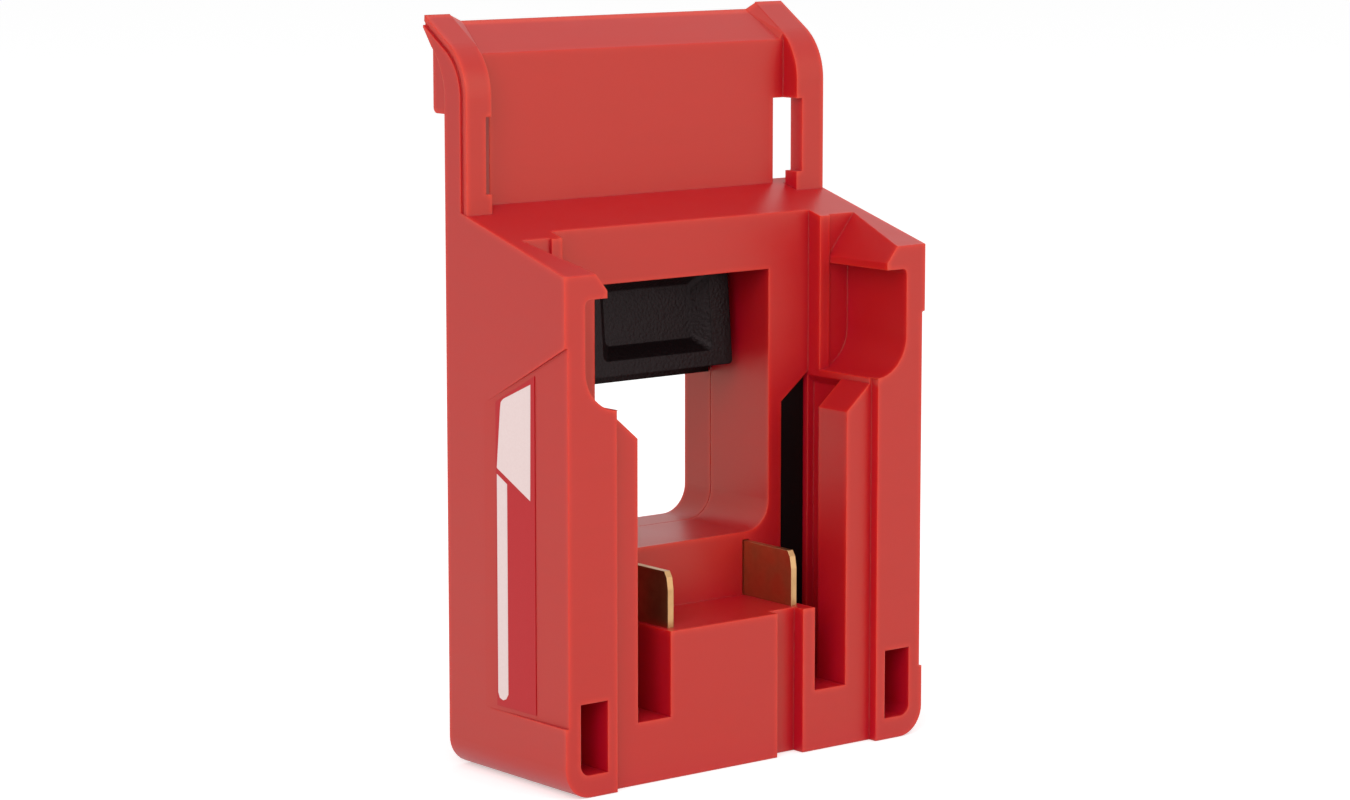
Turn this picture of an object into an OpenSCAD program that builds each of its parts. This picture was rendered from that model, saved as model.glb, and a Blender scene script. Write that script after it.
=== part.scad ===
// Battery adapter for a cordless machine.
// A slide-on battery pack enters the open bay from the top and runs down behind the two lips
// until two blade terminals enter it. The rear boss and its sprung latch lock the adapter to
// the machine. X runs across the front, Y runs back from the cheek fronts, Z runs up.

/* [Body] */
// Width across the two cheeks
body_w = 78; // [74:0.5:90]
// Depth from the cheek fronts to the rear parting face
body_d = 32.5; // [31:0.5:38]
// Height of the shoulder at the cheek fronts
shoulder_z = 86; // [85:0.5:96]
// Slope of the shoulder in degrees
shoulder_slope = 16; // [10:1:20]
// Radius of the two bottom corners
corner_r = 5; // [2:0.5:8]
// Moulded wall thickness
wall = 2.4; // [2:0.1:2.8]
// Depth of the grip recess in each side at the front edge
grip_depth = 0.6; // [0.3:0.1:1]

/* [Pack bay] */
// Width of the bay between the channel walls
bay_w = 56; // [53:0.5:57]
// Depth of the bay from the cheek fronts to the window wall
bay_d = 18; // [16:0.5:19]
// Clear opening between the two lips
lip_gap = 45.6; // [44:0.2:48]
// Setback of the lips and the block from the cheek fronts
lip_setback = 1.7; // [1:0.1:3]
// Thickness of the lips, front to back
lip_t = 7.4; // [5:0.1:9]
// Height of the lip tops
lip_z = 62.9; // [58:0.1:63]
// Height of the slanted lead-in on each lip
lip_lead = 4.8; // [2:0.1:6]
// Height of the channel floor
floor_z = 10.5; // [9:0.5:13]
// Reach of the rail channels outward behind the lips
undercut = 1.4; // [0.6:0.1:1.8]
// Width of the terminal block
block_w = 31.6; // [31:0.2:36]
// Height of the terminal block
block_z = 25; // [22:0.5:27]
// Width of the keying groove in the block front
groove_w = 5.7; // [3:0.1:8]
// Centre of the keying groove from the middle
groove_x = 10.3; // [-6:0.1:11]
// Depth of the keying groove
groove_d = 2.4; // [1:0.1:4]

/* [Pack catches] */
// Reach of each catch pocket outward from the bay wall
pocket_w = 6.8; // [5:0.1:7.5]
// Depth of the catch pockets
pocket_d = 14.9; // [10:0.1:15.5]
// Height of the pocket floor
pocket_z = 63.5; // [63:0.1:66]
// Height of the pocket roof
pocket_top = 82; // [78:0.5:83]
// Radius of the outer lower pocket corner
pocket_r = 6.9; // [3:0.1:7]
// Reach of the catch hook inward from the pocket wall
hook_w = 4.5; // [2:0.1:5]
// Thickness of the catch hook at its tip
hook_t = 1.2; // [0.6:0.1:2]
// Width of the small pockets at the cheek feet
foot_w = 5.6; // [4.4:0.1:6]
// Height of the small pockets at the cheek feet
foot_h = 12; // [6:0.5:13]
// Depth of the small pockets at the cheek feet
foot_d = 10; // [6:0.5:12]

/* [Window] */
// Width of the window
window_w = 38; // [36:0.5:39]
// Height of the window sill
window_z = 36; // [35.5:0.1:38]
// Height of the window top
window_top = 81.5; // [78:0.1:82]
// Radius of the lower window corners
window_r = 5; // [2:0.5:8]

/* [Back wall] */
// Overall height
overall_h = 126.2; // [123:0.1:132]
// Width of the right upright cheek of the back wall
ear_w = 6.3; // [5:0.1:7]
// Width of the left upright cheek of the back wall
left_ear_w = 5.4; // [5:0.1:7]
// Depth from the cheek fronts to the upright cheeks
ear_y = 26.7; // [24:0.1:27.5]
// Thickness of the back panel
panel_t = 2; // [1.6:0.1:2.6]
// Radius of the bend where the back wall leans back
bend_r = 10.5; // [8:0.5:12]
// Lean of the top from the vertical in degrees
lean = 57; // [50:1:60]
// Step of the ears above the panel
ear_step = 1.2; // [0.6:0.1:2]
// Reach of the rear hanging hook behind the parting face
hanger_reach = 3.5; // [2:0.1:4.5]
// Height of the rear hanging hook
hanger_h = 10.9; // [6:0.1:12]
// Height of the through slots beside the upright cheeks
side_slot_h = 15; // [8:0.5:16]

/* [Rear boss] */
// Width of the rear boss on each side of the window
boss_side = 8.5; // [8:0.1:10]
// Projection of the rear boss behind the parting face
boss_reach = 8.5; // [8:0.1:11]
// Height of the top of the rear boss
boss_top = 90.4; // [90:0.1:91]

/* [Machine latch] */
// Downward travel of the latch
latch_travel = 4; // [3:0.5:4.5]
// Width of the finger cup
cup_w = 32.4; // [28:0.1:34]
// Height of the lower edge of the finger cup
cup_z = 64.6; // [63:0.1:66]
// Height of the finger cup
cup_h = 21; // [19:0.5:22]
// Depth from the cheek fronts to the cup front at its lower edge
cup_y = 24.4; // [23:0.1:26]
// Backward lean of the cup front in degrees
cup_lean = 5; // [0:0.5:8]
// Width of the frame around the finger recess
cup_frame = 4.3; // [3:0.1:6]
// Depth of the finger recess
recess_d = 2.5; // [2:0.1:4]
// Thickness of the latch slide plate
slide_t = 2.2; // [1.6:0.1:2.6]
// Height of the lower edge of the slide plate
slide_z = 61.9; // [59:0.1:62]
// Width of the locking tongue
tongue_w = 16; // [10:0.5:24]
// Wire diameter of the latch springs
spring_wire = 0.5; // [0.4:0.05:0.6]
// Number of turns in each latch spring
spring_turns = 7; // [5:1:9]
// Length of the latch springs at rest
spring_l = 18; // [14:0.5:22]

/* [Terminals] */
// Distance between the two blade centres
blade_pitch = 28; // [27:0.1:29]
// Thickness of the blades
blade_t = 1.2; // [0.8:0.1:1.4]
// Height of the blades above the block
blade_h = 9.5; // [7:0.1:10]
// Setback of the negative blade from the cheek fronts
negative_y = 4; // [3:0.1:7]
// Setback of the positive blade from the cheek fronts
positive_y = 5.2; // [3:0.1:7]
// Distance between the two machine contacts
contact_pitch = 18; // [16:0.5:20]
// Thickness of the contact and strap metal
sheet_t = 0.8; // [0.6:0.1:1]
// Width of the socket block
socket_w = 32; // [30:0.5:36]
// Height of the socket block
socket_h = 16; // [14:0.5:17]
// Projection of the socket block behind the parting face
socket_reach = 6; // [4:0.5:8]

/* [Fasteners] */
// Radius of the screw holes moulded in the bosses
pilot_r = 1.25; // [1:0.05:1.5]
// Radius of the screw heads
head_r = 2.7; // [2.2:0.1:3]
// Height of the screw heads
head_h = 1.6; // [1.2:0.1:2]
// Length of the cover screws under the head
cover_screw_l = 10; // [8:0.5:11]
// Length of the carrier screws under the head
carrier_screw_l = 8; // [6:0.5:8.5]
// Length of the terminal screws under the head
terminal_screw_l = 4.5; // [3.5:0.1:5]

/* [Label] */
// Thickness of the side label
label_t = 0.12; // [0.08:0.01:0.2]
// Width of the side label
label_w = 10.3; // [6:0.1:12]

/* [Hidden] */

$fn = 48;
// Overlap that makes joined and cut shapes meet cleanly
eps = 0.01;
// Clearance of fixed pieces that drop into each other
fit_gap = 0.15;
// Clearance of sliding faces
slide_gap = 0.3;

overall_d = body_d + boss_reach;
half_w = body_w / 2;
bay_x = bay_w / 2;
// Small step from the channel wall to the cheek edge in front of the lips
cheek_x = bay_x + 0.4;
lip_x = lip_gap / 2;
lip_back = lip_setback + lip_t;
pocket_x = bay_x + pocket_w;
hook_x = pocket_x - hook_w;
// Sideways run of the ramp above each hook, per unit of height
hook_ramp = 0.8;
// Narrow strip beside the channel that stands proud of the pocket floor
strip_w = 2.2;
strip_h = 0.5;
foot_x = cheek_x + 2;
foot_z = 3.7;
foot_r = 1.8;
// Start of the hollow in each cheek, one wall outward of the rail channel
core_x = bay_x + undercut + wall;
window_x = window_w / 2;
wall_back = bay_d + wall;
tunnel_t = 1.2;
tunnel_x = window_x + tunnel_t;
tunnel_y = body_d + 1.2;
shoulder_rise = tan(shoulder_slope);
function shoulder_at(y) = shoulder_z + shoulder_rise * y;

// Window slots behind the lips, closed from behind by the terminal carrier
slot_in = lip_x - 0.9;
slot_pad_y = bay_d + 1.1;

// Grip recess: lower edge, upper edge at the front above the lips, its fall and length of the fade
grip_z = 12;
grip_rise = 11.6;
grip_top = lip_z + grip_rise;
grip_fade = 22;
grip_fall = 11.4;
grip_turn = atan(grip_depth / grip_fade);

// Back wall
panel_y = body_d - panel_t;
ear_tip_y = body_d + 5.8;
hanger_y = body_d + hanger_reach;
// Length of the straight leaning front, and the height at which the front starts to bend
lean_run = (ear_tip_y - ear_y - bend_r * (1 - cos(lean))) / sin(lean);
bend_z = overall_h - bend_r * sin(lean) - lean_run * cos(lean);
// The leaning panel runs parallel to the cheeks
panel_top = overall_h - ear_step;
panel_bend = panel_top - (ear_tip_y - panel_y) / tan(lean);
hanger_top = overall_h - 5.2;
hanger_z = hanger_top - hanger_h;
hanger_inset = 0.3;
// Radius of the hollow rear edge of the upright cheeks
ear_back_r = 13.05;
ramp_w = 2.5;
// Through slot beside each upright cheek: notch into its front and relief behind that
notch_w = 1.2;
notch_rise = 2.2;
notch_t = 3.1;

// Rear cover and boss
cover_t = wall;
cover_y = body_d - cover_t;
cover_in_z = wall + fit_gap;
cover_top = shoulder_at(cover_y) - wall - 0.6;
boss_x = window_x + boss_side;
boss_t = 2;
boss_z = window_z - 5;
rear_face = body_d + boss_reach;
rear_window_top = window_top - 1;

// Latch
slide_x = window_x - slide_gap;
slide_y = tunnel_y + slide_gap;
slide_back = slide_y + slide_t;
slide_top = boss_top - boss_t - slide_gap;
wing_x = boss_x - boss_t - slide_gap;
wing_z = slide_z + latch_travel + 1;
wing_h = 12;
tongue_h = boss_top + latch_travel - 0.4 - slide_top;
spring_x = (tunnel_x + boss_x - boss_t) / 2;
spring_y = slide_y + slide_t / 2;
spring_r = 1.7;
spring_pin_r = 1;
spring_pin_h = 2.5;
seat_z = wing_z - spring_l;
seat_t = 2.4;

// Terminals and their carrier
blade_x = blade_pitch / 2;
contact_x = contact_pitch / 2;
carrier_t = 2;
carrier_back = wall_back + carrier_t;
carrier_x = bay_x + 1;
carrier_top = lip_z + 1.5;
carrier_z = wall + 2;
flag_y = carrier_back + 1.6;
flag_back = flag_y + blade_t;
strap_back = flag_back + sheet_t;
tab_back = strap_back + sheet_t;
flag_z = block_z + 0.6;
flag_top = window_z - tunnel_t - 0.6;
flag_mid = (flag_z + flag_top) / 2;
// Half width of the blade flags, and the middle of their screw holes
flag_w = 3.4;
flag_x = blade_x + flag_w + 0.3;
socket_z = wall + 6.6;
socket_mid = socket_z + socket_h / 2;
contact_z = socket_mid - 4;
contact_h = 8;
tab_z = socket_z - 3.2;
// Half width of the contact tabs
tab_w = 2.2;
screw_x = half_w - wall - 4;
screw_low = 9;
screw_high = shoulder_z - 2;
carrier_screw_x = bay_x - 3;
carrier_screw_z = 7;
// Thickness of the socket block's flange
flange_t = 2;
cover_boss_y = cover_y - flange_t;
label_y = 8.5;

RED = [0.78, 0.22, 0.19];
BLACK = [0.13, 0.12, 0.12];
BRASS = [0.76, 0.6, 0.33];
STEEL = [0.62, 0.63, 0.65];

// Puts the middle of the base at the origin.
module in_frame() {
    translate([0, -overall_d / 2, 0]) children();
}

// Repeats a shape on both sides of the middle.
module both_sides() {
    children();
    mirror([1, 0, 0]) children();
}

// Extrudes an outline drawn in X and Z from one depth to another.
module along_y(y0, y1) {
    translate([0, y1, 0]) rotate([90, 0, 0]) linear_extrude(y1 - y0) children();
}

// Extrudes an outline drawn in Y and Z from one width to another.
module along_x(x0, x1) {
    translate([x0, 0, 0]) rotate([90, 0, 90]) linear_extrude(x1 - x0) children();
}

// Box between two opposite corners.
module block(low, high) {
    translate(low) cube(high - low);
}

// Round bar or hole along Y.
module bar_y(x, z, r, y0, y1) {
    translate([x, y1, z]) rotate([90, 0, 0]) cylinder(r = r, h = y1 - y0);
}

// Piece to cut from a corner at the origin to round it; the material lies in +X and +Z.
module corner_cut(r) {
    difference() {
        translate([-1, -1]) square(r + 1);
        translate([r, r]) circle(r);
    }
}

// Rectangle centred on X with two rounded lower corners.
module rounded_foot(w, z0, z1, r) {
    difference() {
        translate([-w / 2, z0]) square([w, z1 - z0]);
        translate([-w / 2, z0]) corner_cut(r);
        translate([w / 2, z0]) mirror([1, 0]) corner_cut(r);
    }
}

// Lip or slot outline with its slanted top, from its inner edge out to the bay wall.
module lip_outline(inner, outer, z0) {
    polygon([[inner, z0], [outer, z0], [outer, lip_z], [inner, lip_z - lip_lead]]);
}

// Side outline of the upright cheeks: upright front, bend, lean, and a hollow rear edge.
module ear_profile() {
    front = [-cos(lean), sin(lean)];
    knee = [-cos(lean / 2), sin(lean / 2)] / cos(lean / 2);
    bend = [ear_y + bend_r, bend_z];
    difference() {
        polygon([
            [ear_y, shoulder_z], bend + bend_r * knee, [ear_tip_y, overall_h],
            [ear_tip_y + 0.1, overall_h - 1.3], [hanger_y, hanger_top],
            [hanger_y, hanger_z], [body_d, hanger_z], [body_d, shoulder_z]]);
        translate(bend) difference() {
            polygon([[0, 0], [-bend_r - 1, 0], (bend_r + 1) * knee, (bend_r + 1) * front]);
            circle(bend_r);
        }
        translate([body_d + ear_back_r - 0.2, hanger_top - 9.05]) circle(ear_back_r);
    }
}

// Line of the cheek front moved back by an inset, from its foot to just past the tip.
function front_line(inset) = concat(
    [[inset - bend_r, shoulder_z - bend_z]],
    [for (i = [0:8]) (bend_r - inset) * [-cos(lean * i / 8), sin(lean * i / 8)]],
    [(bend_r - inset) * [-cos(lean), sin(lean)] + (lean_run + 1) * [sin(lean), cos(lean)]]);

// Strip of the cheek side between two insets from its front.
module front_strip(from, to) {
    rear = front_line(to);
    translate([ear_y + bend_r, bend_z])
        polygon(concat(front_line(from), [for (i = [len(rear) - 1 : -1 : 0]) rear[i]]));
}

// Panel profile in Y and Z: vertical, then leaning back just under the cheeks.
module panel_profile() {
    polygon([
        [panel_y, shoulder_z],
        [panel_y, panel_bend],
        [ear_tip_y, panel_top],
        [ear_tip_y + 0.1, panel_top - 0.8],
        [hanger_y, hanger_top],
        [body_d, hanger_top],
        [body_d, shoulder_z]]);
}

// Rear hanging hook, with one rounded lower corner.
module hanger_profile() {
    difference() {
        translate([body_d - eps, hanger_z]) square([hanger_reach + eps, hanger_h + eps]);
        translate([hanger_y, hanger_z]) mirror([1, 0]) corner_cut(1);
    }
}

// Slanted step from the leaning panel up to a cheek, widening towards the top.
module ear_ramp(inner) {
    ends = [[ramp_w * 0.3, panel_y + 0.1, panel_bend], [ramp_w, ear_tip_y - 0.1, panel_top - 0.15]];
    points = [for (e = ends) each [
        [inner - e[0], e[1], e[2]], [inner, e[1], e[2] + ear_step], [inner + 0.5, e[1], e[2] + ear_step],
        [inner + 0.5, e[1], e[2] - 0.5], [inner - e[0], e[1], e[2] - 0.5]]];
    polyhedron(points = points, faces = [
        [0, 1, 2, 3, 4], [9, 8, 7, 6, 5], [1, 0, 5], [1, 5, 6],
        [2, 1, 6, 7], [3, 2, 7, 8], [4, 3, 8, 9], [0, 4, 9, 5]]);
}

// Upright cheek on the right with its ramp.
module ear(width) {
    along_x(half_w - width, half_w) ear_profile();
    ear_ramp(half_w - width);
}

// Set back front edge of the right cheek and the groove behind it.
module ear_edge() {
    along_x(half_w - 0.25, half_w + 1) front_strip(-0.5, 0.9);
    along_x(half_w - 0.45, half_w + 1) front_strip(0.9, 1.4);
}

// Through slot beside the right cheek, with a step at its foot and a relief behind the cheek.
module ear_slot(width) {
    inner = half_w - width;
    foot = shoulder_at(panel_y);
    top = foot + side_slot_h;
    block([inner - ramp_w + 0.2, ear_y - 1, foot], [inner, body_d + 1, top]);
    block([inner - eps, ear_y - 1, foot + notch_rise], [inner + notch_w, body_d + 1, top]);
    block([inner - eps, ear_y + notch_t, foot], [half_w - wall, body_d + 1, top]);
}

module back_wall() {
    difference() {
        union() {
            ear(ear_w);
            mirror([1, 0, 0]) ear(left_ear_w);
            along_x(-half_w, half_w) panel_profile();
            along_x(-half_w + hanger_inset, half_w - hanger_inset) hanger_profile();
        }
        both_sides() ear_edge();
        ear_slot(ear_w);
        mirror([1, 0, 0]) ear_slot(left_ear_w);
    }
}

// Outer form below the shoulder.
module lower_body() {
    intersection() {
        along_y(0, body_d) rounded_foot(body_w, 0, shoulder_at(body_d) + 5, corner_r);
        along_x(-half_w, half_w) polygon([
            [0, 0], [body_d, 0], [body_d, shoulder_at(body_d)], [0, shoulder_z]]);
    }
}

// Shallow recess in the side that deepens towards the front edge.
module grip_cut(depth) {
    translate([half_w, grip_fade, 0]) rotate([0, 0, -grip_turn])
        translate([0, -grip_fade, 0]) along_x(0, depth) polygon([
            [-2, grip_z], [grip_fade, grip_z],
            [grip_fade, grip_top - grip_fall], [-2, grip_top + 1]]);
}

// Catch pocket with its hook: the outline that is cut out of a cheek.
module pocket_outline() {
    difference() {
        translate([bay_x - 1, pocket_z]) square([pocket_w + 1, pocket_top - pocket_z]);
        translate([pocket_x, pocket_z]) mirror([1, 0]) corner_cut(pocket_r);
        translate([pocket_x, pocket_top]) mirror([1, 1]) mirror([1, -1]) corner_cut(1);
    }
    rise = shoulder_at(bay_d) + 5 - pocket_top - hook_t;
    polygon([
        [bay_x - 1, pocket_top - eps], [hook_x, pocket_top - eps], [hook_x, pocket_top + hook_t],
        [hook_x + hook_ramp * rise, pocket_top + hook_t + rise],
        [bay_x - 1, pocket_top + hook_t + rise]]);
}

// Everything that is cut out of the front: bay, catch pockets and foot pockets.
module front_cuts() {
    block([-bay_x, -1, floor_z], [bay_x, bay_d, overall_h]);
    block([-cheek_x, -1, -1], [cheek_x, lip_setback, pocket_z]);
    both_sides() {
        along_y(-1, pocket_d) pocket_outline();
        along_y(-1, pocket_d + strip_h) intersection() {
            pocket_outline();
            translate([bay_x + strip_w, pocket_z]) square([pocket_w, overall_h]);
        }
        along_y(-1, foot_d) translate([foot_x, foot_z]) difference() {
            square([foot_w, foot_h]);
            translate([foot_w, 0]) mirror([1, 0]) corner_cut(foot_r);
        }
        grip_cut(5);
    }
    along_y(bay_d - 1, wall_back + 1) window_outline();
}

module window_outline() {
    rounded_foot(window_w, window_z, window_top, window_r);
}

// Hollow behind the window wall, open to the rear, with cores in the cheeks and the block.
module rear_cavity() {
    inner = half_w - wall;
    intersection() {
        along_y(wall_back, body_d + 1) rounded_foot(2 * inner, wall, overall_h, corner_r - wall / 2);
        along_x(-inner, inner) polygon([
            [wall_back, wall], [body_d + 1, wall],
            [body_d + 1, shoulder_at(body_d + 1) - wall - 0.2],
            [wall_back, shoulder_at(wall_back) - wall - 0.2]]);
    }
    both_sides() block([core_x, wall + 1, foot_z + foot_h + wall],
                       [inner, wall_back + eps, pocket_z - wall - 2]);
    block([-block_w / 2 + wall, lip_setback + groove_d + wall, wall],
          [block_w / 2 - wall, wall_back + eps, block_z - wall]);
}

// Tube behind the window that the latch slides in.
module tunnel() {
    along_y(wall_back - eps, tunnel_y) difference() {
        rounded_foot(2 * tunnel_x, window_z - tunnel_t, slide_top, window_r + tunnel_t);
        rounded_foot(window_w, window_z, slide_top + 1, window_r);
    }
}

// Ledge with a pin that carries a latch spring.
module spring_seat() {
    front = spring_y - spring_r - 2;
    block([tunnel_x - eps, front, seat_z - seat_t], [wing_x, tunnel_y, seat_z]);
    block([tunnel_x + fit_gap, front, seat_z - seat_t], [wing_x, spring_y + spring_r + 0.5, seat_z]);
    translate([spring_x, spring_y, seat_z - eps]) cylinder(r = spring_pin_r, h = spring_pin_h);
}

module screw_posts() {
    for (z = [screw_low, screw_high])
        bar_y(screw_x, z, pilot_r + 2.4, wall_back - 1, cover_boss_y - fit_gap);
}

module front_housing() {
    color(RED) in_frame() difference() {
        union() {
            difference() {
                union() {
                    lower_body();
                    back_wall();
                }
                front_cuts();
                rear_cavity();
            }
            both_sides() {
                along_y(lip_setback, lip_back) lip_outline(lip_x, cheek_x + eps, 0);
                screw_posts();
                spring_seat();
            }
            difference() {
                block([-block_w / 2, lip_setback, floor_z - eps], [block_w / 2, bay_d + eps, block_z]);
                block([-block_w / 2 + wall, lip_setback + groove_d + wall, 0],
                      [block_w / 2 - wall, bay_d + 1, block_z - wall]);
            }
            tunnel();
        }
        // Keying groove down the block front
        block([groove_x - groove_w / 2, 0, -1],
              [groove_x + groove_w / 2, lip_setback + groove_d, block_z + 1]);
        both_sides() {
            // Rail channel that reaches outward behind the lip, with a slanted roof
            along_y(lip_back, bay_d) polygon([
                [bay_x - 1, floor_z], [bay_x + undercut, floor_z],
                [bay_x + undercut, pocket_z - 1.2 - undercut], [bay_x, pocket_z - 1.2],
                [bay_x - 1, pocket_z - 1.2]]);
            along_y(bay_d - 1, wall_back + 1) lip_outline(slot_in, bay_x, floor_z);
            for (z = [screw_low, screw_high])
                bar_y(screw_x, z, pilot_r, wall_back - 2, body_d);
            bar_y(carrier_screw_x, carrier_screw_z, pilot_r, wall_back - 7, wall_back + 1);
            block([blade_x - blade_t / 2 - fit_gap, bay_d - 1, block_z],
                  [blade_x + blade_t / 2 + fit_gap, wall_back + 1, block_z + blade_h + fit_gap]);
        }
    }
}

module rear_cover() {
    inner = half_w - wall - fit_gap;
    color(RED) in_frame() difference() {
        union() {
            along_y(cover_y, body_d) rounded_foot(2 * inner, cover_in_z, cover_top, corner_r - wall / 2);
            along_y(cover_y, rear_face) difference() {
                rounded_foot(2 * boss_x, boss_z, boss_top, 4);
                for (side = [-1, 1])
                    translate([side * boss_x, boss_top]) mirror([side > 0 ? 1 : 0, 0])
                        mirror([0, 1]) corner_cut(2);
            }
            both_sides() for (z = [screw_low, screw_high])
                bar_y(screw_x, z, head_r + 1.5, cover_boss_y, cover_y + 1);
        }
        // Hollow of the boss
        block([-boss_x + boss_t, cover_boss_y - 1, boss_z + boss_t],
              [boss_x - boss_t, rear_face - wall, boss_top - boss_t]);
        along_y(cover_y - 1, rear_face + 1) rounded_foot(window_w, window_z, rear_window_top, window_r);
        // Slot for the tongue in the boss top
        block([-tongue_w / 2 - slide_gap, slide_y - slide_gap, boss_top - boss_t - 1],
              [tongue_w / 2 + slide_gap, slide_back + slide_gap, boss_top + 1]);
        // Opening for the socket block
        block([-socket_w / 2 - fit_gap, cover_y - 1, socket_z - fit_gap],
              [socket_w / 2 + fit_gap, body_d + 1, socket_z + socket_h + fit_gap]);
        both_sides() for (z = [screw_low, screw_high]) {
            bar_y(screw_x, z, pilot_r + 0.4, cover_boss_y - 1, body_d + 1);
            bar_y(screw_x, z, head_r + 0.4, body_d - head_h - 0.3, body_d + 1);
        }
    }
    // Rear half of the tunnel
    color(RED) in_frame() difference() {
        along_y(tunnel_y + fit_gap, rear_face) difference() {
            rounded_foot(2 * tunnel_x, window_z - tunnel_t, rear_window_top + tunnel_t, window_r + tunnel_t);
            rounded_foot(window_w, window_z, rear_window_top, window_r);
        }
        // Guide slots for the wings of the latch
        block([-boss_x, tunnel_y, slide_z + 0.6], [boss_x, slide_back + slide_gap, boss_top]);
    }
}

// Finger cup in front of the slide plate, with a recess that has slanted sides.
module cup() {
    half = cup_w / 2;
    run = cup_h * tan(cup_lean);
    slant = recess_d * 0.95;
    low = cup_frame * 0.62;
    high = cup_h - cup_frame;
    difference() {
        intersection() {
            along_x(-half, half) polygon([
                [cup_y, cup_z], [slide_y + eps, cup_z],
                [slide_y + eps, cup_z + cup_h], [cup_y + run, cup_z + cup_h]]);
            along_y(cup_y - 1, slide_y + 1) rounded_foot(cup_w, cup_z, cup_z + cup_h + 1, 0.8);
        }
        translate([0, cup_y, cup_z]) rotate([-cup_lean, 0, 0]) hull() {
            along_y(-0.5, 0.1) rounded_plate(half - cup_frame, low, high, 1);
            along_y(recess_d - 0.2, recess_d)
                rounded_plate(half - cup_frame - slant, low + slant, high - slant, 1);
        }
    }
}

// Rectangle centred on X with four rounded corners.
module rounded_plate(half, z0, z1, r) {
    difference() {
        translate([-half, z0]) square([2 * half, z1 - z0]);
        for (side = [0, 1], end = [0, 1])
            mirror([side, 0]) translate([-half, end * z1 + (1 - end) * z0]) mirror([0, end]) corner_cut(r);
    }
}

module latch() {
    color(BLACK) in_frame() {
        cup();
        block([-slide_x, slide_y, slide_z], [slide_x, slide_back, slide_top]);
        both_sides() {
            block([slide_x - eps, slide_y, wing_z], [wing_x, slide_back, wing_z + wing_h]);
            translate([spring_x, spring_y, wing_z - spring_pin_h])
                cylinder(r = spring_pin_r, h = spring_pin_h + eps);
        }
        // Locking tongue with a slanted rear face
        along_x(-tongue_w / 2, tongue_w / 2) polygon([
            [slide_y, slide_top - 1], [slide_back, slide_top - 1],
            [slide_back, slide_top + tongue_h - slide_t * 0.8],
            [slide_y + slide_t * 0.2, slide_top + tongue_h],
            [slide_y, slide_top + tongue_h]]);
    }
}

// Ring of points round the wire where it has turned through an angle.
function wire_ring(a, z, sides) = [for (k = [0 : sides - 1])
    let (b = 360 * k / sides, r = spring_r + spring_wire / 2 * cos(b))
    [r * cos(a), r * sin(a), z + spring_wire / 2 * sin(b)]];

// Compression spring standing on its seat.
module latch_spring(side) {
    sides = 6;
    per_turn = 8;
    rings = spring_turns * per_turn;
    rise = spring_l - spring_wire - 0.1;
    points = [for (i = [0 : rings])
        each wire_ring(360 * i / per_turn, spring_wire / 2 + 0.05 + rise * i / rings, sides)];
    tube = [for (i = [0 : rings - 1], k = [0 : sides - 1])
        let (a = i * sides + k, b = i * sides + (k + 1) % sides)
        [a, b, b + sides, a + sides]];
    ends = [[for (k = [sides - 1 : -1 : 0]) k], [for (k = [0 : sides - 1]) rings * sides + k]];
    color(STEEL) in_frame() translate([side * spring_x, spring_y, seat_z])
        polyhedron(points = points, faces = concat(tube, ends));
}

module latch_spring_left() {
    latch_spring(-1);
}

module latch_spring_right() {
    latch_spring(1);
}

module terminal_carrier() {
    color(BLACK) in_frame() difference() {
        union() {
            along_y(wall_back, carrier_back) difference() {
                translate([-carrier_x, carrier_z]) square([2 * carrier_x, carrier_top - carrier_z]);
                translate([-tunnel_x - fit_gap, window_z - tunnel_t - fit_gap])
                    square([2 * (tunnel_x + fit_gap), carrier_top]);
            }
            both_sides() {
                // Pad that closes the slot behind a lip
                along_y(slot_pad_y, wall_back + eps) difference() {
                    lip_outline(slot_in + fit_gap, bay_x - fit_gap, floor_z + fit_gap);
                    translate([slot_in - 1, lip_z - 0.5]) square([bay_x, 5]);
                }
                block([flag_x - flag_w - 0.2, carrier_back - eps, flag_z],
                      [flag_x + flag_w + 0.2, flag_y, flag_top]);
                bar_y(contact_x, tab_z, 3, carrier_back - eps, flag_back);
                // Post that holds the socket block against the cover
                bar_y(socket_w / 2 + 1, contact_z + 1, 1.2, carrier_back - eps, cover_boss_y - fit_gap);
            }
        }
        both_sides() {
            block([blade_x - blade_t / 2 - fit_gap, wall_back - 1, flag_z - fit_gap],
                  [blade_x + blade_t / 2 + fit_gap, flag_y + 1, window_z]);
            bar_y(flag_x, flag_mid, pilot_r, wall_back - 1, flag_y + 1);
            bar_y(contact_x, tab_z, pilot_r, wall_back - 1, flag_back + 1);
            bar_y(carrier_screw_x, carrier_screw_z, pilot_r + 0.3, wall_back - 1, carrier_back + 1);
        }
    }
}

// Blade terminal on one side, with a flag bent outward behind the carrier.
module blade(side, front) {
    nose = 1;
    mirror([side < 0 ? 1 : 0, 0, 0]) difference() {
        union() {
            along_x(blade_x - blade_t / 2, blade_x + blade_t / 2) polygon([
                [front, block_z + eps], [front, block_z + blade_h - 3 * nose],
                [front + nose * 0.35, block_z + blade_h - nose], [front + nose, block_z + blade_h],
                [wall_back - nose, block_z + blade_h], [wall_back - nose, flag_top],
                [flag_back, flag_top], [flag_back, flag_z], [wall_back - nose, flag_z],
                [wall_back - nose, block_z + eps]]);
            block([blade_x, flag_y, flag_z], [flag_x + flag_w, flag_back, flag_top]);
        }
        bar_y(flag_x, flag_mid, pilot_r + 0.3, flag_y - 1, flag_back + 1);
    }
}

module positive_blade() {
    color(BRASS) in_frame() blade(1, positive_y);
}

module negative_blade() {
    color(BRASS) in_frame() blade(-1, negative_y);
}

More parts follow.
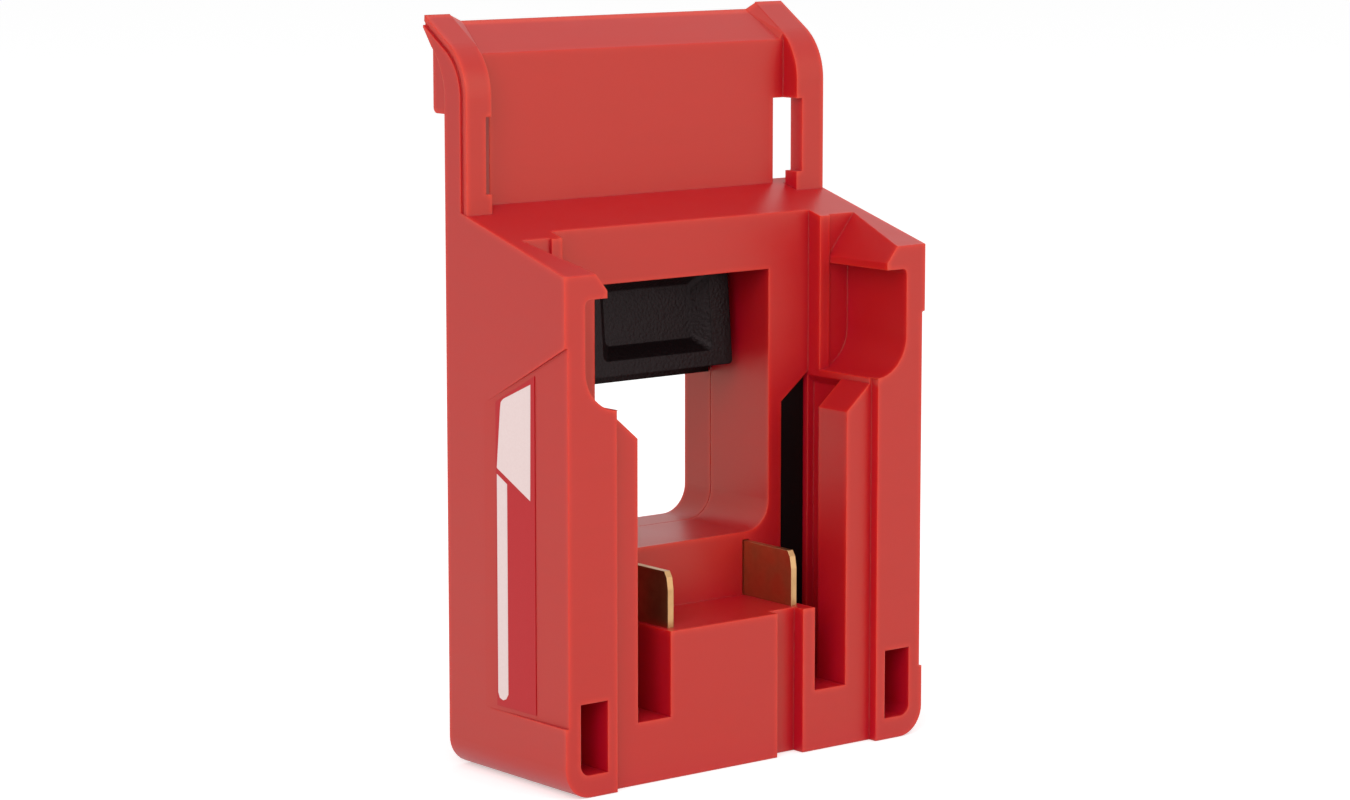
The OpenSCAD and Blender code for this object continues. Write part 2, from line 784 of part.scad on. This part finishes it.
// Flat strap with round eyes from the blade flag down to the machine contact.
module strap(side) {
    top = [flag_x, flag_mid];
    foot = [contact_x, tab_z];
    run = top - foot;
    w = 4.4;
    eye_r = 2.8;
    mirror([side < 0 ? 1 : 0, 0, 0]) along_y(flag_back, strap_back) difference() {
        union() {
            translate(top) circle(eye_r);
            translate(foot) circle(eye_r);
            translate(foot) rotate(atan2(run[1], run[0])) translate([0, -w / 2]) square([norm(run), w]);
        }
        translate(top) circle(pilot_r + 0.3);
        translate(foot) circle(pilot_r + 0.3);
    }
}

module positive_strap() {
    color(BRASS) in_frame() strap(1);
}

module negative_strap() {
    color(BRASS) in_frame() strap(-1);
}

// Female contact: a base with a screw tab and two sprung leaves that close towards the mouth.
module contact(side) {
    open = 1.8;
    mouth = 0.25;
    length = body_d + socket_reach - 2 - strap_back;
    leaf = [
        [open, 0], [open, length * 0.35], [mouth, length * 0.85], [mouth + 0.7, length],
        [mouth + 0.7 + sheet_t, length], [mouth + sheet_t, length * 0.85],
        [open + sheet_t, length * 0.35], [open + sheet_t, 0]];
    mirror([side < 0 ? 1 : 0, 0, 0]) translate([contact_x, 0, 0]) difference() {
        union() {
            block([-open - sheet_t, strap_back, contact_z],
                  [open + sheet_t, tab_back, contact_z + contact_h]);
            block([-tab_w, strap_back, tab_z - tab_w - 0.4], [tab_w, tab_back, contact_z + eps]);
            both_sides() translate([0, strap_back, contact_z]) linear_extrude(contact_h) polygon(leaf);
        }
        bar_y(0, tab_z, pilot_r + 0.3, strap_back - 1, tab_back + 1);
    }
}

module positive_contact() {
    color(BRASS) in_frame() contact(1);
}

module negative_contact() {
    color(BRASS) in_frame() contact(-1);
}

module socket_block() {
    back = body_d + socket_reach;
    color(BLACK) in_frame() difference() {
        union() {
            block([-socket_w / 2, cover_y - eps, socket_z], [socket_w / 2, back, socket_z + socket_h]);
            block([-socket_w / 2 - flange_t, cover_boss_y, socket_z],
                  [socket_w / 2 + flange_t, cover_y - fit_gap, socket_z + socket_h + flange_t]);
            block([-socket_w / 2, cover_boss_y, socket_z], [socket_w / 2, cover_y, socket_z + socket_h]);
        }
        both_sides() {
            block([contact_x - 3.2, cover_y - 3, contact_z - 0.5],
                  [contact_x + 3.2, back - 1.6, contact_z + contact_h + 0.5]);
            block([contact_x - 0.8, cover_y, contact_z - 0.2],
                  [contact_x + 0.8, back + 1, contact_z + contact_h + 0.2]);
        }
        block([-2, body_d + 1, socket_z - 1], [2, back + 1, socket_z + socket_h + 1]);
    }
}

// Pan head screw with a cross recess, its head towards the rear.
module screw(x, z, seat, length) {
    difference() {
        union() {
            bar_y(x, z, pilot_r - 0.05, seat - length, seat + eps);
            bar_y(x, z, head_r, seat, seat + head_h * 0.6);
            translate([x, seat + head_h * 0.6, z]) rotate([-90, 0, 0])
                cylinder(r1 = head_r, r2 = head_r * 0.6, h = head_h * 0.4);
        }
        for (turn = [0, 90])
            translate([x, seat + head_h, z]) rotate([0, turn, 0])
                cube([head_r * 1.1, head_h, 0.7], center = true);
    }
}

module cover_screws() {
    color(STEEL) in_frame() for (x = [-screw_x, screw_x], z = [screw_low, screw_high])
        screw(x, z, body_d - head_h - 0.3, cover_screw_l);
}

module carrier_screws() {
    color(STEEL) in_frame() for (x = [-carrier_screw_x, carrier_screw_x])
        screw(x, carrier_screw_z, carrier_back, carrier_screw_l);
}

module terminal_screws() {
    color(STEEL) in_frame() for (side = [-1, 1]) {
        screw(side * flag_x, flag_mid, strap_back, terminal_screw_l);
        screw(side * contact_x, tab_z, tab_back, terminal_screw_l);
    }
}

module label() {
    // Lies on the slanted floor of the left grip recess
    color([0.72, 0.2, 0.2]) in_frame() mirror([1, 0, 0])
        translate([half_w, grip_fade, 0]) rotate([0, 0, -grip_turn])
            translate([0, -grip_fade, 0]) along_x(0, label_t) polygon([
                [label_y, grip_z + 0.8], [label_y + label_w, grip_z + 0.8],
                [label_y + label_w, label_top(label_y + label_w)], [label_y, label_top(label_y)]]);
}

// Slanted upper edge of the label, just below the edge of the recess.
function label_top(y) = grip_top - 1 - grip_fall * y / grip_fade;

front_housing();
rear_cover();
latch();
latch_spring_left();
latch_spring_right();
terminal_carrier();
positive_blade();
negative_blade();
positive_strap();
negative_strap();
positive_contact();
negative_contact();
socket_block();
cover_screws();
carrier_screws();
terminal_screws();
label();
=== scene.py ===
import math

import bpy
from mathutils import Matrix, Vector


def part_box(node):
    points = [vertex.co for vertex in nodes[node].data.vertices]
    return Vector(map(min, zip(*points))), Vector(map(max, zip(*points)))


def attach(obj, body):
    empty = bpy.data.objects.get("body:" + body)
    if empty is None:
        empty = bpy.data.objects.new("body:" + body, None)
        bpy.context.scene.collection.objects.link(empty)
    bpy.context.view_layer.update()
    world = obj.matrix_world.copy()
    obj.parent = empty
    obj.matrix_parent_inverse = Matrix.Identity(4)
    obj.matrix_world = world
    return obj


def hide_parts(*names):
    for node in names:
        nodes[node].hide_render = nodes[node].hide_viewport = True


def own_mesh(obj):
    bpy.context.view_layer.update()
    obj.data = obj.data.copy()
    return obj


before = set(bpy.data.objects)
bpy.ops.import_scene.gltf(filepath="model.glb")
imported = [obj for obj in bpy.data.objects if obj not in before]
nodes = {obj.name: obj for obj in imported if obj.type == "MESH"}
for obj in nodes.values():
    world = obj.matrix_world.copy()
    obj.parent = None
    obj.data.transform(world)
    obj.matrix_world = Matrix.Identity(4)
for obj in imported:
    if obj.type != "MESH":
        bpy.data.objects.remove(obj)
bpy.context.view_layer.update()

# Camera and light tent
# The adapter stands on a white sweep inside a light tent. The camera looks at it from the front
# left and a little from above, through a long lens. Four soft lamps shine through the tent.
photo_w_px = 1350
focal_length_px = 3924.5
sensor_w = 36
camera_place = (-0.41574, -0.51585, 0.16021)
camera_dip_deg = 8.590
camera_turn_deg = 38.881
lamp_aim = (0, 0, 0.06)
low_lamp_aim = (0, 0, 0.05)
tall_lamp = (0.7, 0.9)
square_lamp = (0.9, 0.9)
flat_lamp = (0.5, 0.25)
tent_strength = 0.6
white_strength = 1

scene = bpy.context.scene
scene.view_settings.view_transform = "Standard"

camera = bpy.data.objects.new("camera", bpy.data.cameras.new("camera"))
camera.data.sensor_width = sensor_w
camera.data.lens = focal_length_px / photo_w_px * sensor_w
camera.data.clip_start = 0.05
camera.data.clip_end = 50
camera.location = camera_place
camera.rotation_euler = (math.radians(90 - camera_dip_deg), 0, math.radians(-camera_turn_deg))
scene.collection.objects.link(camera)
scene.camera = camera


def tent_lamp(name, place, aim, size, power):
    lamp = bpy.data.lights.new(name, "AREA")
    lamp.shape = "RECTANGLE"
    lamp.size, lamp.size_y = size
    lamp.energy = power
    ob = bpy.data.objects.new(name, lamp)
    ob.location = place
    ob.rotation_euler = (Vector(aim) - Vector(place)).to_track_quat("-Z", "Y").to_euler()
    scene.collection.objects.link(ob)


tent_lamp("lamp_left", (-0.90, -0.70, 0.72), lamp_aim, tall_lamp, 6.9)
tent_lamp("lamp_low", (-1.00, -0.55, 0.16), low_lamp_aim, flat_lamp, 1.1)
tent_lamp("lamp_top", (0.1, -0.3, 1.2), lamp_aim, square_lamp, 1.3)
tent_lamp("lamp_front", (0.45, -1.15, 0.50), lamp_aim, tall_lamp, 4.0)


def feed(tree, socket, value):
    # Links another node's output to the socket, or sets the socket to a plain value.
    if isinstance(value, bpy.types.NodeSocket):
        tree.links.new(value, socket)
    else:
        socket.default_value = value


def whichever(tree, first, second):
    # 1 where either of two masks is 1.
    greater = tree.nodes.new("ShaderNodeMath")
    greater.operation = "MAXIMUM"
    feed(tree, greater.inputs[0], first)
    feed(tree, greater.inputs[1], second)
    return greater.outputs[0]


def white_background(tree, strength):
    background = tree.nodes.new("ShaderNodeBackground")
    background.inputs["Color"].default_value = (1, 1, 1, 1)
    background.inputs["Strength"].default_value = strength
    return background.outputs[0]


world = bpy.data.worlds.new("tent")
scene.world = world
world.use_nodes = True
sky = world.node_tree
sky.nodes.clear()
rays = sky.nodes.new("ShaderNodeLightPath")
seen = whichever(sky, rays.outputs["Is Camera Ray"], rays.outputs["Is Transmission Ray"])
shown = whichever(sky, seen, rays.outputs["Is Glossy Ray"])
either = sky.nodes.new("ShaderNodeMixShader")
feed(sky, either.inputs[0], shown)
feed(sky, either.inputs[1], white_background(sky, tent_strength))
feed(sky, either.inputs[2], white_background(sky, white_strength))
feed(sky, sky.nodes.new("ShaderNodeOutputWorld").inputs["Surface"], either.outputs[0])

# Floor
# A matt white board that runs out of the picture on every side. It keeps the soft shadow of the
# adapter, and a little light of its own lifts it to the white of the tent.
floor_reach = 6
floor_z = -0.0001
board_grey = (0.86, 0.86, 0.86, 1)
lift_grey = (0.46, 0.46, 0.46, 1)

board = bpy.data.meshes.new("floor")
board.from_pydata([(-floor_reach, -floor_reach, floor_z), (floor_reach, -floor_reach, floor_z),
                   (floor_reach, floor_reach, floor_z), (-floor_reach, floor_reach, floor_z)],
                  [], [(0, 1, 2, 3)])
floor = bpy.data.objects.new("floor", board)
scene.collection.objects.link(floor)
board_paint = bpy.data.materials.new("floor_board")
board_paint.use_nodes = True
coat = board_paint.node_tree
coat.nodes.clear()
matt = coat.nodes.new("ShaderNodeBsdfDiffuse")
matt.inputs["Color"].default_value = board_grey
board_rays = coat.nodes.new("ShaderNodeLightPath")
board_seen = whichever(coat, board_rays.outputs["Is Camera Ray"], board_rays.outputs["Is Glossy Ray"])
lift = coat.nodes.new("ShaderNodeEmission")
lift.inputs["Color"].default_value = lift_grey
feed(coat, lift.inputs["Strength"], board_seen)
both = coat.nodes.new("ShaderNodeAddShader")
feed(coat, both.inputs[0], matt.outputs[0])
feed(coat, both.inputs[1], lift.outputs[0])
feed(coat, coat.nodes.new("ShaderNodeOutputMaterial").inputs["Surface"], both.outputs[0])
floor.data.materials.append(board_paint)

# Front housing
# One injection moulding of red, slightly see-through plastic. The steel mould leaves a fine satin
# skin, faint flow lines and small rounded edges. Thin and convex edges open to the light get a painted
# glow and a painted highlight, and closed-in places a painted shade of deeper crimson.
bevel_samples = 4
glow_samples = 4
mouth_reach = 0.012
flow_stretch = (1, 1, 7)


def object_place(tree):
    return tree.nodes.new("ShaderNodeTexCoord").outputs["Object"]


def noise(tree, place, scale, detail=2.0, distortion=0.0):
    texture = tree.nodes.new("ShaderNodeTexNoise")
    feed(tree, texture.inputs["Vector"], place)
    feed(tree, texture.inputs["Scale"], scale)
    feed(tree, texture.inputs["Detail"], detail)
    feed(tree, texture.inputs["Distortion"], distortion)
    return texture.outputs["Fac"]


def stretched(tree, place, scale):
    mapping = tree.nodes.new("ShaderNodeMapping")
    feed(tree, mapping.inputs["Vector"], place)
    feed(tree, mapping.inputs["Scale"], scale)
    return mapping.outputs[0]


def mapped(tree, value, from_min=0.0, from_max=1.0, to_min=0.0, to_max=1.0):
    ramp = tree.nodes.new("ShaderNodeMapRange")
    feed(tree, ramp.inputs["Value"], value)
    feed(tree, ramp.inputs["From Min"], from_min)
    feed(tree, ramp.inputs["From Max"], from_max)
    feed(tree, ramp.inputs["To Min"], to_min)
    feed(tree, ramp.inputs["To Max"], to_max)
    return ramp.outputs[0]


def blended(tree, share, first, second):
    # From the first colour at share 0 to the second at share 1.
    mix = tree.nodes.new("ShaderNodeMix")
    mix.data_type = "RGBA"
    feed(tree, mix.inputs["Factor"], share)
    feed(tree, mix.inputs["A"], first)
    feed(tree, mix.inputs["B"], second)
    return mix.outputs["Result"]


def rounded_edges(tree, radius, samples):
    bevel = tree.nodes.new("ShaderNodeBevel")
    bevel.samples = samples
    feed(tree, bevel.inputs["Radius"], radius)
    return bevel.outputs[0]


def occlusion(tree, reach, inside):
    shade = tree.nodes.new("ShaderNodeAmbientOcclusion")
    shade.inside = inside
    shade.samples = glow_samples
    feed(tree, shade.inputs["Distance"], reach)
    return shade.outputs["AO"]


def new_effect(name, values, masks, normals=()):
    # An empty node group with its input values, its output masks and its output normals.
    group = bpy.data.node_groups.new(name, "ShaderNodeTree")
    for socket_name, value in values.items():
        socket = group.interface.new_socket(socket_name, in_out="INPUT", socket_type="NodeSocketFloat")
        socket.default_value = value
    for socket_name in masks:
        group.interface.new_socket(socket_name, in_out="OUTPUT", socket_type="NodeSocketFloat")
    for socket_name in normals:
        group.interface.new_socket(socket_name, in_out="OUTPUT", socket_type="NodeSocketVector")
    given = group.nodes.new("NodeGroupInput").outputs
    result = group.nodes.new("NodeGroupOutput").inputs
    return group, given, result


def effect(tree, group, values):
    # The outputs of an effect that is placed in a material with its own values.
    placed = tree.nodes.new("ShaderNodeGroup")
    placed.node_tree = group
    for socket_name, value in values.items():
        placed.inputs[socket_name].default_value = value
    return placed.outputs


def moulded_skin_group():
    # Height: fine grain. Tone: flow lines. Edge: thin or convex, and open to the light.
    # Open: 1 where little shades the place. Round Normal: the faces with soft edges.
    values = {"Grain Scale": 2200.0, "Flow Scale": 60.0, "Edge Radius": 0.0003, "Glow Depth": 0.00115}
    group, given, result = new_effect("moulded_skin", values, ("Height", "Tone", "Edge", "Open"),
                                      ("Round Normal",))
    place = object_place(group)
    grain = noise(group, place, given["Grain Scale"], detail=3)
    flow = noise(group, stretched(group, place, flow_stretch), given["Flow Scale"],
                 detail=4, distortion=0.6)
    thin = mapped(group, occlusion(group, given["Glow Depth"], inside=True),
                  from_min=1.0, from_max=0.5)
    open_air = mapped(group, occlusion(group, mouth_reach, inside=False),
                      from_min=0.25, from_max=0.75)
    lit_edge = group.nodes.new("ShaderNodeMath")
    lit_edge.operation = "MULTIPLY"
    feed(group, lit_edge.inputs[0], thin)
    feed(group, lit_edge.inputs[1], open_air)
    feed(group, result["Height"], grain)
    feed(group, result["Tone"], flow)
    feed(group, result["Edge"], lit_edge.outputs[0])
    feed(group, result["Open"], open_air)
    feed(group, result["Round Normal"], rounded_edges(group, given["Edge Radius"], bevel_samples))
    return group


moulded_skin = moulded_skin_group()


def new_finish(name):
    # A material with its node tree and its shader's inputs.
    material = bpy.data.materials.new(name)
    material.use_nodes = True
    tree = material.node_tree
    return material, tree, tree.nodes["Principled BSDF"].inputs


def raised(tree, height, normal, strength, distance):
    bump = tree.nodes.new("ShaderNodeBump")
    feed(tree, bump.inputs["Height"], height)
    feed(tree, bump.inputs["Normal"], normal)
    feed(tree, bump.inputs["Strength"], strength)
    feed(tree, bump.inputs["Distance"], distance)
    return bump.outputs[0]


def paint(node, material):
    nodes[node].data.materials.clear()
    nodes[node].data.materials.append(material)


def red_housing_plastic(name, dark, light, painted_shade_tint, painted_glow_tint, painted_highlight_tint):
    material, tree, shader = new_finish(name)
    skin = effect(tree, moulded_skin, {})
    body = blended(tree, skin["Tone"], dark, light)
    # Painted shade: where the Open mask says little light reaches, the colour turns a deeper crimson.
    shaded = blended(tree, skin["Open"], painted_shade_tint, body)
    # Painted glow: thin and convex edges that are open to the light are lit up a brighter red.
    glow = blended(tree, skin["Edge"], shaded, painted_glow_tint)
    # Painted highlight: where the lit-edge mask is strongest the colour goes lighter still.
    painted_highlight_share = mapped(tree, skin["Edge"], from_min=0.6)
    feed(tree, shader["Base Color"], blended(tree, painted_highlight_share, glow, painted_highlight_tint))
    feed(tree, shader["Roughness"], mapped(tree, skin["Tone"], to_min=0.34, to_max=0.44))
    feed(tree, shader["Normal"], raised(tree, skin["Height"], skin["Round Normal"],
                                        strength=0.12, distance=0.00004))
    feed(tree, shader["Subsurface Weight"], 0.6)
    feed(tree, shader["Subsurface Radius"], (1.0, 0.16, 0.10))
    feed(tree, shader["Subsurface Scale"], 0.0020)
    feed(tree, shader["IOR"], 1.51)
    feed(tree, shader["Specular Tint"], (1, 1, 0.67, 1))
    feed(tree, shader["Specular IOR Level"], 0.5)
    return material


# The last three colours are painted shade in closed-in places, a painted glow on lit edges and a
# painted highlight where that glow is strongest.
housing_red = red_housing_plastic("housing_red",
                                  dark=(0.455, 0.006, 0.011, 1), light=(0.479, 0.007, 0.013, 1),
                                  painted_shade_tint=(0.46, 0.001, 0.016, 1),
                                  painted_glow_tint=(0.56, 0.012, 0.013, 1),
                                  painted_highlight_tint=(0.60, 0.026, 0.016, 1))
paint("front_housing", housing_red)

# Terminal carrier
# A black moulding that is screwed in behind the bay wall. It holds the blades, and its two pads
# show as dark bands in the slots behind the lips.
rough_spread = 0.06


def black_plastic(name, colour, rough, grain, depth, gloss):
    material, tree, shader = new_finish(name)
    skin = effect(tree, moulded_skin, {"Grain Scale": grain})
    worn = [1.5 * part for part in colour[:3]] + [1]
    feed(tree, shader["Base Color"], blended(tree, skin["Height"], colour, worn))
    feed(tree, shader["Roughness"], mapped(tree, skin["Tone"], to_min=rough - rough_spread,
                                           to_max=rough + rough_spread))
    feed(tree, shader["Normal"], raised(tree, skin["Height"], skin["Round Normal"],
                                        strength=0.5, distance=depth))
    feed(tree, shader["Specular IOR Level"], gloss)
    feed(tree, shader["Specular Tint"], (1, 0.82, 0.84, 1))
    return material


carrier_black = black_plastic("carrier_black", (0.0012, 0.0008, 0.0008, 1), rough=0.6, grain=1800,
                              depth=0.00003, gloss=0.16)
paint("terminal_carrier", carrier_black)

# Blades, straps and contacts
# Stamped brass sheet, pressed into the carrier. The faces carry fine rolling lines and darken a
# little with handling.
sheet_edge_r = 0.0001
sheet_bevel_samples = 6
rolling_stretch = (1, 0.04, 1)


def surface_mottle_group():
    # Mottle: soft clouds over the surface, as in tarnish, plating and print.
    group, given, result = new_effect("surface_mottle", {"Scale": 900.0, "Detail": 2.0}, ("Mottle",))
    feed(group, result["Mottle"], noise(group, object_place(group), given["Scale"], given["Detail"]))
    return group


surface_mottle = surface_mottle_group()


def brass_sheet(name, clean, worn):
    material, tree, shader = new_finish(name)
    tarnish = effect(tree, surface_mottle, {"Scale": 240, "Detail": 4})["Mottle"]
    blots = mapped(tree, tarnish, from_min=0.4, from_max=0.7)
    lines = noise(tree, stretched(tree, object_place(tree), rolling_stretch), scale=6000)
    soft_edges = rounded_edges(tree, sheet_edge_r, sheet_bevel_samples)
    feed(tree, shader["Metallic"], 1)
    feed(tree, shader["Base Color"], blended(tree, blots, clean, worn))
    feed(tree, shader["Roughness"], mapped(tree, blots, to_min=0.34, to_max=0.46))
    feed(tree, shader["Normal"], raised(tree, lines, soft_edges, strength=0.3, distance=0.00001))
    return material


blade_brass = brass_sheet("blade_brass", (0.53, 0.315, 0.145, 1), (0.43, 0.24, 0.105, 1))
for pole in ("positive", "negative"):
    for piece in ("blade", "strap", "contact"):
        paint(f"{pole}_{piece}", blade_brass)

# Socket block
# A black glass-filled moulding that shrouds the two machine contacts. It sits in the rear cover
# and is finished as the carrier is.
paint("socket_block", carrier_black)

# Latch
# A black moulding with a fine spark-eroded texture. A finger pulls its cup down, which draws the
# tongue at the top out of the machine.
latch_black = black_plastic("latch_black", (0.0026, 0.0012, 0.0014, 1), rough=0.40, grain=1900,
                            depth=0.00030, gloss=0.17)
paint("latch", latch_black)

# Latch springs
# Two compression springs of drawn steel wire stand on seats in the front housing and push the
# latch up. They shorten as the latch is pulled down. The last turn at each end is closed.
wire_r = 0.00025
closed_pitch = 2.1 * wire_r
spring_turns = 8
rings_per_turn = 36
wire_sides = 12


def plated_steel(name, bright, dull, rough_low, rough_high):
    material, tree, shader = new_finish(name)
    clouds = effect(tree, surface_mottle, {"Scale": 900, "Detail": 3})["Mottle"]
    feed(tree, shader["Metallic"], 1)
    feed(tree, shader["Base Color"], blended(tree, clouds, bright, dull))
    feed(tree, shader["Roughness"], mapped(tree, clouds, to_min=rough_low, to_max=rough_high))
    return material


def wire_height(turn, length):
    # Height of the wire's centre over the seat. The first and the last turn lie wire on wire.
    open_turns = spring_turns - 2
    open_pitch = (length - 2 * wire_r - 2 * closed_pitch) / open_turns
    opened = min(max(turn - 1, 0), open_turns)
    return wire_r + closed_pitch * (turn - opened) + open_pitch * opened


def coil_spring(name, node):
    low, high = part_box(node)
    middle = (low + high) / 2
    length = high.z - low.z
    coil_r = (high.x - low.x) / 2 - wire_r
    rings = spring_turns * rings_per_turn
    points = []
    for ring in range(rings + 1):
        turn = ring / rings_per_turn
        around = 2 * math.pi * turn
        for side in range(wire_sides):
            tilt = 2 * math.pi * side / wire_sides
            reach = coil_r + wire_r * math.cos(tilt)
            points.append((middle.x + reach * math.cos(around), middle.y + reach * math.sin(around),
                           low.z + wire_height(turn, length) + wire_r * math.sin(tilt)))
    last = rings * wire_sides
    faces = [tuple(range(wire_sides)), tuple(range(last + wire_sides - 1, last - 1, -1))]
    for start in range(0, last, wire_sides):
        for side in range(wire_sides):
            here = start + side
            beside = start + (side + 1) % wire_sides
            faces.append((here, here + wire_sides, beside + wire_sides, beside))
    mesh = bpy.data.meshes.new(name)
    mesh.from_pydata(points, [], faces)
    for face in mesh.polygons:
        face.use_smooth = len(face.vertices) == 4
    mesh.materials.append(spring_wire)
    ob = bpy.data.objects.new(name, mesh)
    scene.collection.objects.link(ob)
    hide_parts(node)
    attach(ob, "adapter")
    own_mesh(ob)


spring_wire = plated_steel("spring_wire", (0.50, 0.50, 0.50, 1), (0.38, 0.37, 0.36, 1),
                           rough_low=0.22, rough_high=0.38)
coil_spring("left_coil_spring", "latch_spring_left")
coil_spring("right_coil_spring", "latch_spring_right")

# Screws
# Pan head screws that cut their own thread in the plastic. They are zinc plated, with a slight
# colour cast in the plating.
screw_zinc = plated_steel("screw_zinc", (0.62, 0.63, 0.66, 1), (0.50, 0.49, 0.44, 1),
                          rough_low=0.25, rough_high=0.45)
for place in ("cover", "carrier", "terminal"):
    paint(f"{place}_screws", screw_zinc)

# Rear cover
# The second red moulding, from the same plastic as the front housing. Four screws hold it, and its
# boss carries the rear half of the latch tunnel.
paint("rear_cover", housing_red)

# Side label
# A printed film in the left grip recess: a red ground with two blank white fields, under a clear
# coat. The recess floor slants in towards the front, and the film lies flat on it.

# In mm. The frame's origin lies middle_depth behind the front face.
side_x = 39
recess_end = 22
recess_sink = 0.6
middle_depth = 20.5
field_lift = (0.10, 0.15)
metres_per_mm = 0.001


def printed_film(name, dark, light, speck_scale, gloss):
    material, tree, shader = new_finish(name)
    specks = effect(tree, surface_mottle, {"Scale": speck_scale, "Detail": 2})["Mottle"]
    feed(tree, shader["Base Color"], blended(tree, specks, dark, light))
    feed(tree, shader["Roughness"], 0.32)
    feed(tree, shader["Specular IOR Level"], gloss)
    return material


def label_field(name, outline):
    # The outline's points are depth behind the front face and height, in mm.
    slant = math.atan(recess_sink / recess_end)
    rings = []
    for lift in field_lift:
        for depth, height in outline:
            along = depth - recess_end
            out = side_x + lift * math.cos(slant) + along * math.sin(slant)
            back = recess_end - lift * math.sin(slant) + along * math.cos(slant)
            rings.append([metres_per_mm * size for size in (-out, back - middle_depth, height)])
    count = len(outline)
    faces = [tuple(range(count, 2 * count)), tuple(reversed(range(count)))]
    faces += [(i, (i + 1) % count, count + (i + 1) % count, count + i) for i in range(count)]
    mesh = bpy.data.meshes.new(name)
    mesh.from_pydata(rings, [], faces)
    mesh.update()
    mesh.materials.append(label_white)
    ob = bpy.data.objects.new(name, mesh)
    scene.collection.objects.link(ob)
    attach(ob, "adapter")


label_red = printed_film("label_red", (0.43, 0.003, 0.007, 1), (0.47, 0.004, 0.009, 1),
                         speck_scale=3000, gloss=0.28)
label_white = printed_film("label_white", (0.74, 0.57, 0.55, 1), (0.80, 0.64, 0.62, 1),
                           speck_scale=2500, gloss=0.5)
paint("label", label_red)
label_field("label_badge_field", [(9.5, 67.6), (16.6, 64.5), (17.3, 63.9), (17.5, 63.0),
                                  (18.5, 52.8), (9.7, 48.4)])
label_field("label_strip_field", [(15.8, 50.4), (18.5, 51.8), (18.5, 15.1), (18.1, 14.2),
                                  (17.2, 13.9), (16.4, 14.2), (15.8, 15.1)])
